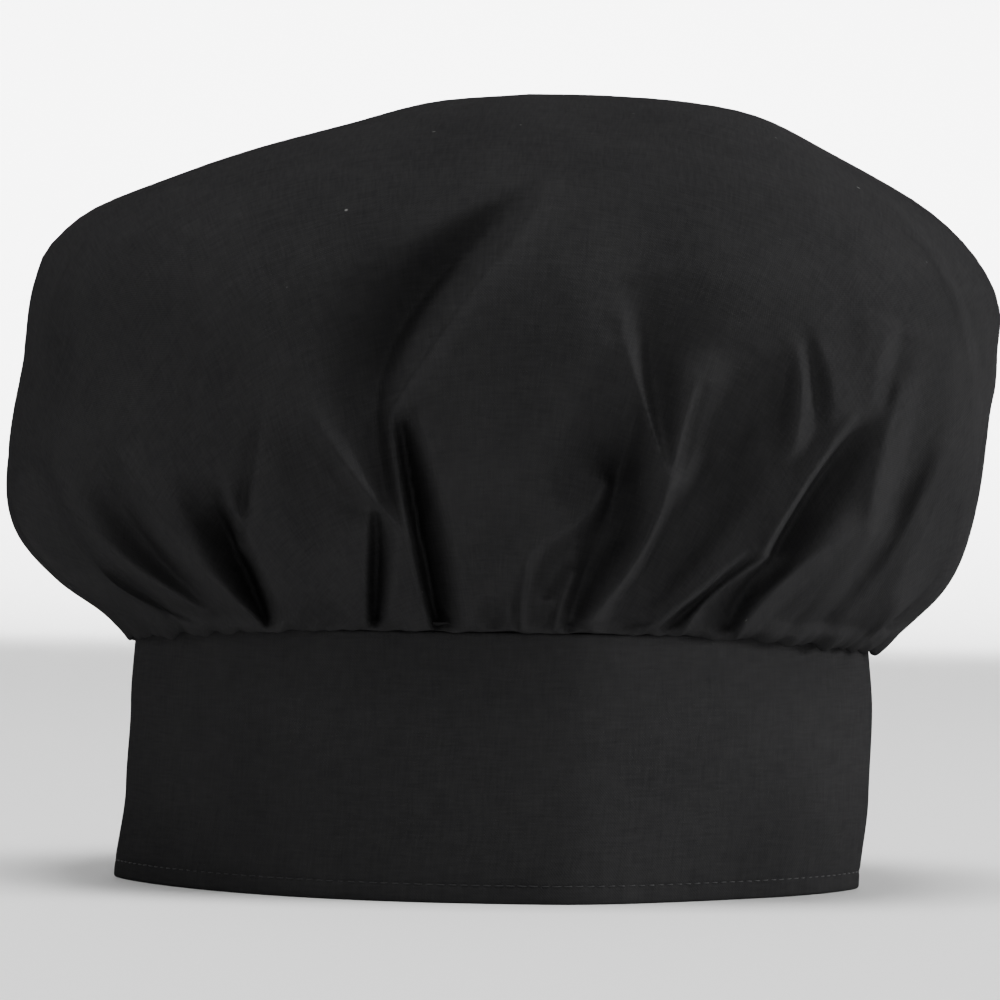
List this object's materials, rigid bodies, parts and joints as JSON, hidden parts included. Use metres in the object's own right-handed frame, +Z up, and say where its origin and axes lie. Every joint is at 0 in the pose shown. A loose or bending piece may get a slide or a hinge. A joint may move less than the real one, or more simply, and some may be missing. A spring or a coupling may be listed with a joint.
{
  "type": "chef hat",
  "caption": "Soft black chef hat: a gathered, puffed cloth crown with fanned folds on a tall plain band that laps over and fastens at the back.",
  "frame": {"origin": "on the surface it stands on, under the middle of the hat's outline", "axes": "+X to the right as seen from the front, -Y out of the front, +Z up"},
  "size_m": [0.292, 0.211, 0.233],
  "materials": {
    "cloth": "matt plain weave",
    "tape": "matt nylon pile"
  },
  "bodies": {
    "root": {"band": "cloth", "crown": "cloth", "closure_tape": "tape"}
  },
  "joints": []
}
